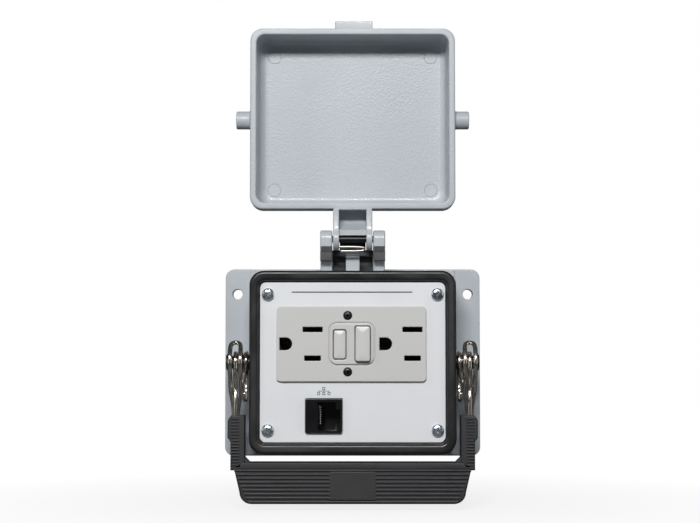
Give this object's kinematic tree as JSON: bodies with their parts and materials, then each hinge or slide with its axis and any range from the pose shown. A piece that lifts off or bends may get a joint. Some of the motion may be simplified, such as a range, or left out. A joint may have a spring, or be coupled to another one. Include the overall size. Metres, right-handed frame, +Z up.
{
  "type": "panel interface port",
  "caption": "Panel interface port with a ground-fault duplex outlet, a network jack, a hinged cover and a wire locking lever.",
  "frame": {"origin": "middle of the flange's four bolt holes, on the panel's front face, which is the back of the panel gasket", "axes": "+X right, +Z up, +Y into the panel along the bolts; the front looks along -Y"},
  "size_m": [0.116, 0.0467, 0.2149],
  "materials": {
    "painted_diecast": "light grey powder paint on die-cast aluminium, fine orange peel",
    "black_rubber": "matt black rubber",
    "faceplate_paint": "near-white satin paint on aluminium sheet",
    "zinc_screw": "bright zinc plate, slightly blue",
    "outlet_grey": "light grey moulded thermoplastic, semi-gloss",
    "black_screw": "black coated steel",
    "case_white": "off-white moulded plastic",
    "galvanised": "galvanised steel strip",
    "brass": "bright brass",
    "green_screw": "green lacquered steel",
    "board_green": "green solder mask on glass-epoxy board",
    "copper_coil": "enamelled copper winding",
    "jack_black": "glossy black moulded plastic",
    "gold_contact": "gold plated contacts",
    "stainless": "bright stainless wire",
    "dark_steel": "black oxide steel",
    "grip_black": "black ribbed glass-filled nylon"
  },
  "bodies": {
    "housing": {"housing": "painted_diecast", "panel_gasket": "black_rubber", "rim_gasket": "black_rubber", "faceplate": "faceplate_paint", "faceplate_screws": "zinc_screw", "outlet_face": "outlet_grey", "outlet_strap": "galvanised", "outlet_case": "case_white", "outlet_screws": "black_screw", "case_screws": "zinc_screw", "contact_carrier": "case_white", "neutral_contacts": "brass", "hot_contacts": "brass", "ground_contacts": "brass", "neutral_terminals": "zinc_screw", "hot_terminals": "brass", "ground_terminal": "green_screw", "circuit_board": "board_green", "sense_coils": "copper_coil", "trip_solenoid": "copper_coil", "solenoid_frame": "galvanised", "plunger_spring": "stainless", "test_spring": "stainless", "reset_spring": "stainless", "jack_body": "jack_black", "jack_rear": "jack_black", "jack_contacts": "gold_contact", "jack_clip": "black_rubber", "pivot_pin_left": "zinc_screw", "pivot_pin_right": "zinc_screw", "hinge_pin": "dark_steel"},
    "cover": {"lid": "painted_diecast", "lid_spring": "stainless"},
    "lever": {"lever_grip": "grip_black", "lever_wire_left": "stainless", "lever_wire_right": "stainless"},
    "test": {"test_button": "outlet_grey"},
    "reset": {"reset_button": "outlet_grey", "reset_stem": "galvanised"},
    "plunger": {"solenoid_plunger": "zinc_screw"}
  },
  "joints": [
    {"name": "cover_hinge", "type": "hinge", "parent": "housing", "child": "cover", "pos_m": [0, -0.028, 0.0546], "axis": [1, 0, 0], "range_deg": [0, 180]},
    {"name": "lever_swing", "type": "hinge", "parent": "housing", "child": "lever", "pos_m": [0, -0.0255, 0], "axis": [-1, 0, 0], "range_deg": [-15, 60]},
    {"name": "test_press", "type": "slide", "parent": "housing", "child": "test", "axis": [0, 1, 0], "range_m": [0, 0.0012], "stiffness_N_per_m": 1500, "springref_m": -0.0008, "deforming": ["test_spring"]},
    {"name": "reset_press", "type": "slide", "parent": "housing", "child": "reset", "axis": [0, 1, 0], "range_m": [0, 0.0025], "stiffness_N_per_m": 1500, "springref_m": -0.0008, "deforming": ["reset_spring"]},
    {"name": "plunger_pull", "type": "slide", "parent": "housing", "child": "plunger", "axis": [1, 0, 0], "range_m": [0, 0.003], "stiffness_N_per_m": 300, "springref_m": -0.0008, "deforming": ["plunger_spring"]}
  ]
}
